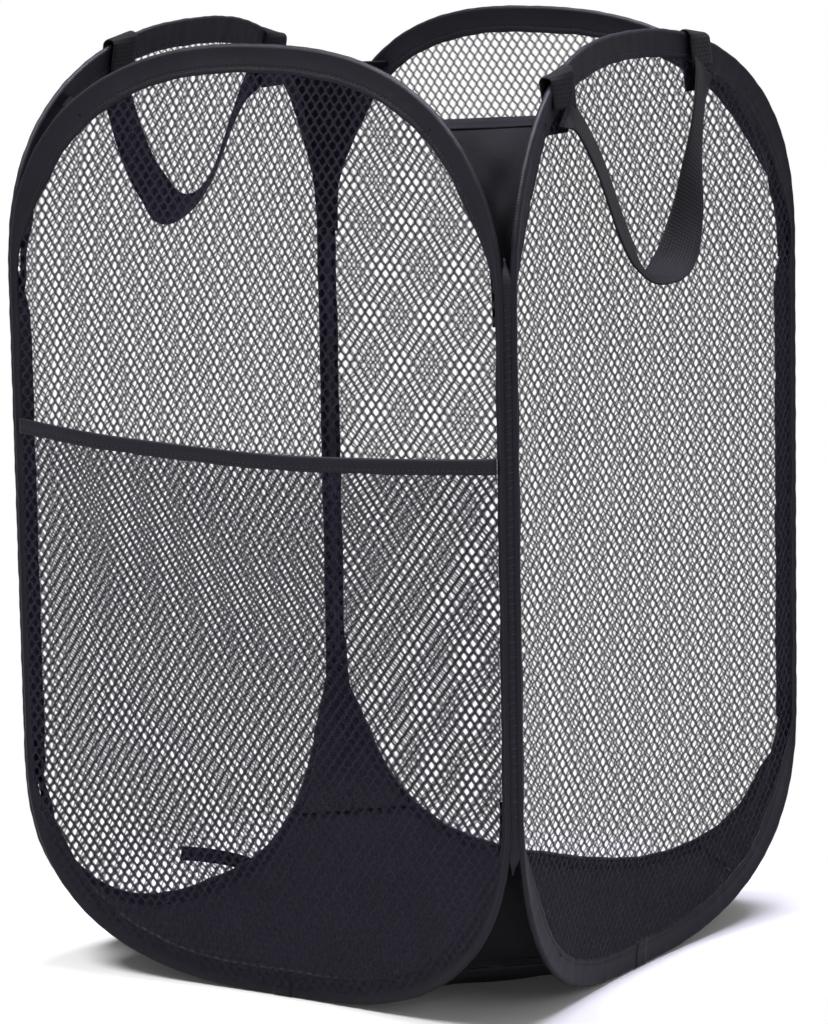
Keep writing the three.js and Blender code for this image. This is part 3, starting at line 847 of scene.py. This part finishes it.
def make_corner(index):
    """The cloths and the seam between two neighbouring hoops."""
    first, second = SIDES[index], SIDES[(index + 1) % 4]
    pair = f"{first}_{second}"
    for kind, narrow, wide in (("gusset", GUSSET_NARROW, GUSSET_HEM), ("web", WEB_NARROW, WEB_HEM)):
        points, share, t = corner_points(narrow, wide)
        places = np.stack([
            np.broadcast_to(share[:, None] * abs(wide - narrow), points.shape[:2]),
            (t - 0.5) * np.linalg.norm(points[:, -1] - points[:, 0], axis=-1)[:, None],
            np.zeros(points.shape[:2]),
        ], -1)
        for part, bodies, tail in corner_halves(index):
            flat = turned(points[:, part], index)
            made = sheet_solid(f"{pair}_{kind}_cloth{tail}", flat, grid_normals(flat), CLOTH_THICKNESS,
                               places[:, part], CLOTH)
            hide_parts(f"{pair}_{kind}")
            hem = make_hem(f"{pair}_{kind}_hem{tail}", points[:, part], index)
            for piece in (made, hem):
                follow(piece, index, bodies)
            edge = np.linalg.norm(points[-1, part][-1] - points[-1, part][0])
            float(flat_area(points[:, part]))
    make_seam_band(pair, index)
    make_overcast(pair, index)


def flat_area(points):
    """The area of a grid of points."""
    a, b, c, d = points[:-1, :-1], points[1:, :-1], points[1:, 1:], points[:-1, 1:]
    return (np.linalg.norm(np.cross(b - a, c - a), axis=-1)
            + np.linalg.norm(np.cross(c - a, d - a), axis=-1)).sum() / 2


def make_hem(name, points, index):
    """The folded edge of a corner cloth, with a dip where it is stitched."""
    line = points[-1]
    ahead = unit(np.gradient(line, axis=0))
    down = unit(points[-2] - points[-1])
    down = unit(down - ahead * (down * ahead).sum(-1, keepdims=True))
    through = unit(np.cross(ahead, down))
    section = np.array([(0.0, 0.0009), (-0.0006, 0.0004), (-0.0006, -0.0004), (0.0, -0.0009),
                        (HEM_WIDTH * 0.5, -0.0011), (HEM_WIDTH * 0.78, -0.0007),
                        (HEM_WIDTH * 0.9, -0.0010), (HEM_WIDTH, -0.0006),
                        (HEM_WIDTH, 0.0006), (HEM_WIDTH * 0.9, 0.0010),
                        (HEM_WIDTH * 0.78, 0.0007), (HEM_WIDTH * 0.5, 0.0011)])
    at = np.concatenate([[0], np.cumsum(np.linalg.norm(np.diff(line, axis=0), axis=1))])
    made = swept(name, turned(line, index), turned(down, index), turned(through, index), section, at, CLOTH)
    return made


def follow(piece, index, bodies):
    """A corner's piece. At the corner that opens it rides on one hoop; at the others it stays fixed where it
    is built, and the two ends of its turn are worked out but not used."""
    if len(bodies) == 1:
        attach(piece, bodies[0])
        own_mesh(piece)
        return
    ends = [[HINGE_AT + r, -HINGE_AT + r, TURN_HEIGHT] for r in (-TURN_REACH, TURN_REACH)]
    start, end = turned(ends, index)
    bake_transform(piece)


def seam_bodies(index):
    """The bodies a corner's seam is given: both hoops, and at the corner that opens only the first."""
    return corner_halves(index)[0][1]


def make_seam_band(pair, index):
    """The tapes of two neighbouring hoops, sewn face to face along the straight sides. The band points
    into the corner, and ends in a point above and below."""
    z = np.linspace(FLANGE_LOW, FLANGE_HIGH, SEAM_STEPS)
    apart = np.maximum(0, outline_x(np.array(SIDE_LOW), WIRE_IN) - outline_x(z, WIRE_IN)) / math.sqrt(2)
    taper = smooth_step(z, FLANGE_LOW, FLANGE_LOW + 0.03)
    taper = taper * (1 - smooth_step(z, FLANGE_HIGH - 0.06, FLANGE_HIGH))
    uneven = waves(z, 0.35, [5, 9, 17, 29], 61 + index) * SEAM_UNEVEN
    full = (1 - SEAM_LEAST) * smooth_step(z, FLANGE_LOW, FLANGE_LOW + SEAM_POINT)
    full = SEAM_LEAST + full * (1 - smooth_step(z, FLANGE_HIGH - SEAM_POINT, FLANGE_HIGH))
    start = apart * 0.6 - SEAM_BACK + 0.0050 * (1 - full)
    end = start + np.maximum(SEAM_SHALLOW, (FLANGE_DEPTH - apart) * taper + uneven * taper)
    lean = waves(z, 0.35, [3, 7, 13], 71 + index) * SEAM_LEAN * taper
    shares = np.array([0, 0.04, 0.3, 0.7, 0.82, 0.88, 0.96, 1.0])
    half = np.array([0.0022, 0.0027, 0.0018, 0.0014, 0.0010, 0.0014, 0.0013, 0.0008])
    shares = np.concatenate([shares, shares[::-1]])
    half = np.concatenate([half, -half[::-1]])
    across = start[:, None] + (end - start)[:, None] * shares
    spread = np.sign(half) * np.clip(1 - shares / 0.3, 0, 1)
    through = (half + apart[:, None] * 0.9 * spread) * full[:, None] + lean[:, None] * shares
    line = SEAM_MIDDLE + np.stack([z * 0, z * 0, z], -1)
    inward, level = (turned(np.tile(way, (len(z), 1)), index) for way in (INWARD, ACROSS_CORNER))
    section = np.stack([across, through], -1)
    made = swept(f"{pair}_seam_tape", turned(line, index), inward, level, section, z, TAPE)
    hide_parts(f"{pair}_seam")
    follow(made, index, seam_bodies(index))


def make_overcast(pair, index):
    """The thread that winds round the two wires at a corner."""
    steps = OVERCAST_TURNS * OVERCAST_STEPS
    angle = np.linspace(0, OVERCAST_TURNS * 2 * math.pi, steps + 1)
    line = (SEAM_MIDDLE - INWARD * (OVERCAST_DEPTH * np.cos(angle))[:, None]
            + ACROSS_CORNER * (OVERCAST_HALF * np.sin(angle))[:, None])
    z = np.linspace(SIDE_LOW - 0.004, SIDE_HIGH + 0.006, steps + 1)
    line[:, 2] = z
    tangent = unit(np.gradient(line, axis=0))
    side = unit(np.cross(tangent, np.array([0.0, 0.0, 1.0])))
    up = np.cross(side, tangent)
    ring_angle = np.radians([0, 60, 120, 180, 240, 300])
    section = OVERCAST_THREAD * np.stack([np.cos(ring_angle), np.sin(ring_angle)], 1)
    line, side, up = (turned(points, index) for points in (line, side, up))
    made = swept(f"{pair}_overcast_seam", line, side, up, section, z, THREAD)
    follow(made, index, seam_bodies(index))


# Base
def base_border(steps):
    """The base's edge round its four sides, each of which runs along a lower arc and then cuts a corner."""
    reach = float(outline_x(np.array(WEB_HEM), CLOTH_LAP))
    x = np.linspace(-reach, reach, steps + 1)
    z = low_arc(x, CLOTH_LAP)
    side = np.stack([x, -PANEL_AT + bow(x, z) + TAPE_HALF + BASE_STAND, z - BASE_DROP], -1)
    end = side[-1]
    cut = max(1, steps // 3)
    t = np.linspace(0, 1, cut + 1)[1:-1, None]
    side = np.concatenate([side, end * (1 - t) + other_edge(end) * t])
    return np.concatenate([turned(side, quarter) for quarter in range(4)]), cut


def turns_round(u, v, ring_share):
    """How many quarters round the square each place lies, from the front left corner."""
    safe = np.maximum(ring_share, 1e-9)
    front, right = (u / safe + 1) / 2, 1 + (v / safe + 1) / 2
    back, left = 2 + (1 - u / safe) / 2, 3 + (1 - v / safe) / 2
    return np.where(-v >= np.abs(u), front, np.where(u >= np.abs(v), right, np.where(
        v >= np.abs(u), back, left)))


def make_base():
    """The base cloth: a square grid of points, bent round so that its rim follows the four hoops."""
    border, cut = base_border(BASE_SIDE_STEPS)
    steps = BASE_SIDE_STEPS + cut
    line = np.linspace(-1, 1, steps + 1)
    u, v = np.meshgrid(line, line, indexing="ij")
    ring_share = np.maximum(np.abs(u), np.abs(v))
    at = (turns_round(u, v, ring_share) + 4) * steps - cut / 2
    low = np.floor(at).astype(int)
    part = (at - low)[..., None]
    edge = border[low % len(border)] * (1 - part) + border[(low + 1) % len(border)] * part
    rise = np.clip((ring_share - BASE_FLAT_SHARE) / (1 - BASE_FLAT_SHARE), 0, 1) ** 2
    low_face = CLOTH_THICKNESS / 2 + FLOOR_GAP
    x, y = edge[..., 0] * ring_share, edge[..., 1] * ring_share
    loose = np.clip((1 - ring_share) * 6, 0, 1)
    puff = waves(x + 0.4 * y, 0.36, [2, 3, 5], 91) * waves(y - 0.3 * x, 0.36, [2, 4, 5], 92) * BASE_PUFF
    z = low_face + (edge[..., 2] - low_face) * rise + np.maximum(0, puff + BASE_RISE) * loose
    points = np.stack([x, y, z], -1)
    places = np.stack([x, y, np.zeros_like(x)], -1)
    made = sheet_solid("base_cloth", points, grid_normals(points), CLOTH_THICKNESS, places, CLOTH)
    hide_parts("base_panel")
    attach(made, "front")
    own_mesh(made)
    float(flat_area(points))


# Handles
def strap_section(width, thickness):
    """A flat woven strap's outline, with thinner edges."""
    w, t = width / 2, thickness / 2
    shares = [(-1, 0), (-0.985, 0.62), (-0.93, 0.95), (-0.62, 1.0), (-0.3, 0.97), (0, 1.0), (0.3, 0.97),
              (0.62, 1.0), (0.93, 0.95), (0.985, 0.62), (1, 0)]
    upper = np.array(shares) * [w, t]
    return np.concatenate([upper, upper[-2:0:-1] * [1, -1]])


def strap_piece(name, line, wide, side, width=STRAP_WIDTH, thickness=STRAP_THICKNESS):
    """A strap along a line. wide gives the way its width lies at each point."""
    ahead = unit(np.gradient(line, axis=0))
    wide = unit(wide - ahead * (wide * ahead).sum(-1, keepdims=True))
    through = np.cross(ahead, wide)
    at = np.concatenate([[0], np.cumsum(np.linalg.norm(np.diff(line, axis=0), axis=1))])
    zero = on_side(np.zeros(3), side)
    return swept(name, on_side(line, side), on_side(wide, side) - zero, on_side(through, side) - zero,
                 strap_section(width, thickness), at, WEBBING)


def tab_start(end):
    """The height where a handle leaves its sewn end, on the outside of the hoop."""
    return float(high_arc(np.array(end), WIRE_IN)) - TAB_DROP


def arch_slope(x):
    """The slope of the hoop's upper arc."""
    step = 0.0003
    rise = high_arc(np.array(x + step), WIRE_IN) - high_arc(np.array(x - step), WIRE_IN)
    return float(rise) / (2 * step)


def make_tab(side, end, name, node):
    """A strap end that folds over the hoop and down inside it."""
    top = float(high_arc(np.array(end), WIRE_IN))
    outer, inner = tab_start(end), top - TAB_LAP
    slope = arch_slope(end)
    stretch = math.hypot(1, slope)
    path = [(-STRAP_STAND, outer), (-STRAP_STAND, outer + (top - outer) * 0.5)]
    for angle in np.linspace(0, math.pi, 15):
        path.append((-STRAP_STAND * math.cos(angle), top + STRAP_STAND * stretch * math.sin(angle)))
    path += [(STRAP_STAND * 0.85, top - 0.008), (STRAP_STAND * 0.75, top - 0.018),
             (STRAP_STAND * 0.75, inner)]
    path = resampled(np.array(path), TAB_STEPS)[0]
    line = np.stack([np.full(len(path), end), path[:, 0], path[:, 1]], -1)
    line[:, 1] += bow(line[:, 0], line[:, 2])
    wide = np.tile([1.0, 0.0, slope * 0.55], (len(line), 1))
    made = strap_piece(f"{side}_{name}", line, wide, side)
    settle(made, side, [node])


def make_handle(side, keys):
    """The hanging strap. Each key is its place, x, out and z, and how far its width turns from the panel."""
    rows = spline(keys, HANDLE_STEPS)
    line = rows[:, :3].copy()
    line[:, 1] = bow(line[:, 0], line[:, 2]) - line[:, 1]
    ahead = unit(np.gradient(line, axis=0))
    level = unit(np.cross([0.0, -1.0, 0.0], ahead))
    turn = np.radians(rows[:, 3:])
    wide = level * np.cos(turn) + np.array([0.0, 1.0, 0.0]) * np.sin(turn)
    made = strap_piece(f"{side}_handle_strap", line, wide, side)
    settle(made, f"{side}_handle", [f"{side}_handle"])


def handle_keys(path):
    """A strap's keys in metres, with its two ends on the hoop."""
    first, second = HANDLE_ENDS
    start = (first, STRAP_STAND, tab_start(first) - 0.0003, 0)
    end = (second, STRAP_STAND, tab_start(second) - 0.0003, 0)
    return [start, *[(x / 1000, out / 1000, z / 1000, turn) for x, out, z, turn in path], end]


# Each strap from its first end to its second, read off the photograph: x, out and z in mm, turn in degrees
RIGHT_PATH = [
    (-97, 7, 543, 24), (-88, 9, 532, 25), (-76, 10, 514, 23), (-66, 10, 495, 22), (-57, 10, 475, 22),
    (-47, 10.5, 457, 27), (-37, 12, 445, 48), (-25, 13.5, 440, 80), (-12, 13.5, 443, 72), (3, 13, 451, 52),
    (16, 12, 463, 37), (28, 11, 478, 20), (38, 10, 496, 5), (48, 9, 514, -7), (57, 8, 531, -12),
    (67, 6, 548, -10),
]
LEFT_PATH = [
    (-95, 7, 540, 12), (-86, 9, 531, 24), (-75, 10, 515, 31), (-65, 10, 497, 33), (-55, 10, 480, 36),
    (-43, 10, 468, 38), (-27, 9.5, 461, 38), (-11, 9, 460, 34), (3, 8.5, 465, 25), (16, 8, 476, 15),
    (29, 8, 488, 10), (41, 8, 503, 9), (52, 7.5, 519, 8), (62, 6.5, 535, 6), (70, 5, 548, 3),
]


def make_storage_strap():
    """The short loose strap at the bottom of the left hoop."""
    root, tip = np.array([-0.060, 0.010]), np.array([0.026, 0.039])
    t = np.linspace(0, 1, 30)
    x = root[0] + (tip[0] - root[0]) * t
    z = root[1] + (tip[1] - root[1]) * t + 0.002 * np.sin(t * math.pi)
    out = BEAD + 0.0003 + STORAGE_THICKNESS / 2 + 0.0004 * np.sin(t * 5)
    line = np.stack([x, bow(x, z) - out, z], -1)
    wide = np.tile([-(tip - root)[1], 0.0, (tip - root)[0]], (len(t), 1))
    made = strap_piece("storage_strap_webbing", line, wide, "left", STORAGE_WIDTH, STORAGE_THICKNESS)
    settle(made, "left", ["storage_strap"])


def coat(node, material):
    """A look for a solid that stays as it is in the frame."""
    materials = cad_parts[node].data.materials
    materials.clear()
    materials.append(material)


for panel in SIDES:
    make_binding(panel)
    make_net(panel)
    coat(f"{panel}_wire", STEEL)
    coat(f"{panel}_ferrule", ZINC)
make_pocket()
make_pocket_tape()
for number in range(4):
    make_corner(number)
make_base()
for panel, path in (("right", RIGHT_PATH), ("left", LEFT_PATH)):
    make_handle(panel, handle_keys(path))
    for end, order in zip(HANDLE_ENDS, ("first", "second")):
        make_tab(panel, end, f"{order}_strap_end", f"{panel}_handle_{order}_end")
make_storage_strap()


# Stage
def floor_look():
    """A pale floor that looks white to the camera and still takes a soft shadow near the hamper."""
    look = Look("pale_floor", Roughness=0.9, Specular_IOR_Level=0.1)
    seen = look.node("ShaderNodeLightPath", output="Is Camera Ray")
    x, y = look.split(look.spot())[:2]
    far = (x * x * x * x + y * y * y * y).step_over(0.0046, 0.0042)
    look.set("Base Color", look.mixed(seen, (0.40, 0.40, 0.41, 1), (1, 1, 1, 1)))
    glow = look.node("ShaderNodeEmission", {}, {"Color": (1, 1, 1, 1), "Strength": 1.0})
    joined = look.node("ShaderNodeMixShader", {}, {0: seen * (far * 0.98 + 0.02), 2: glow})
    look.tree.links.new(look.shader.outputs[0], joined.socket.node.inputs[1])
    look.tree.links.new(joined.socket, look.tree.nodes["Material Output"].inputs["Surface"])
    return look.material


FLOOR_HALF = 8
corners = [(-1, -1), (1, -1), (1, 1), (-1, 1)]
floor = mesh_piece("floor", [(x * FLOOR_HALF, y * FLOOR_HALF, 0) for x, y in corners],
                   [(0, 1, 2, 3)], None, floor_look())
floor.location.z = -0.0002


def studio_world():
    """Soft white light from all round, which the camera sees as plain white."""
    world = bpy.data.worlds.new("studio")
    bpy.context.scene.world = world
    world.use_nodes = True
    sky = world.node_tree
    background = sky.nodes["Background"]
    background.inputs["Color"].default_value = (1.0, 1.0, 1.0, 1)
    rays = sky.nodes.new("ShaderNodeLightPath")
    strength = sky.nodes.new("ShaderNodeMix")
    strength.inputs["A"].default_value = 0.24
    strength.inputs["B"].default_value = 1.0
    sky.links.new(rays.outputs["Is Camera Ray"], strength.inputs["Factor"])
    sky.links.new(strength.outputs["Result"], background.inputs["Strength"])


def lamp(name, place, aim, size, power, colour=(1, 1, 1)):
    data = bpy.data.lights.new(name, "AREA")
    data.shape, data.size, data.energy, data.color = "DISK", size, power, colour
    made = bpy.data.objects.new(name, data)
    made.location = place
    made.rotation_euler = (Vector(aim) - Vector(place)).to_track_quat("-Z", "Y").to_euler()
    bpy.context.scene.collection.objects.link(made)


studio_world()
lamp("key", (-0.8, -1.6, 3.1), (0, 0, 0.45), 1.2, 95)
lamp("top", (0.3, 0.2, 2.6), (0, 0, 0.5), 1.6, 85, (0.86, 0.83, 1.0))
lamp("side", (2.4, -1.0, 1.4), (0, 0, 0.3), 1.2, 9)

# Camera, fitted to the hoops in the photograph. FOCAL and PHOTO_HEIGHT are in pixels, SENSOR in mm
AZIMUTH, ELEVATION, ROLL = math.radians(32.08), math.radians(10.34), math.radians(-1.04)
DISTANCE = 2.95221
AIM = Vector((-0.00091, 0.00225, 0.27622))
FOCAL = 4648.52
PHOTO_HEIGHT = 1024
SENSOR = 36

back = Vector((math.sin(AZIMUTH) * math.cos(ELEVATION), -math.cos(AZIMUTH) * math.cos(ELEVATION),
               math.sin(ELEVATION)))
level = (-back).cross(Vector((0, 0, 1))).normalized()
upright = level.cross(-back)
rolled_right = level * math.cos(ROLL) + upright * math.sin(ROLL)
rolled_up = upright * math.cos(ROLL) - level * math.sin(ROLL)
facing = Matrix((rolled_right, rolled_up, back)).transposed().to_4x4()
camera_data = bpy.data.cameras.new("camera")
camera_data.lens = FOCAL * SENSOR / PHOTO_HEIGHT
camera_data.sensor_width = SENSOR
camera_data.clip_end = 30
camera = bpy.data.objects.new("camera", camera_data)
camera.matrix_world = Matrix.Translation(AIM + back * DISTANCE) @ facing
bpy.context.scene.collection.objects.link(camera)
bpy.context.scene.camera = camera
bpy.context.scene.view_settings.view_transform = "Standard"
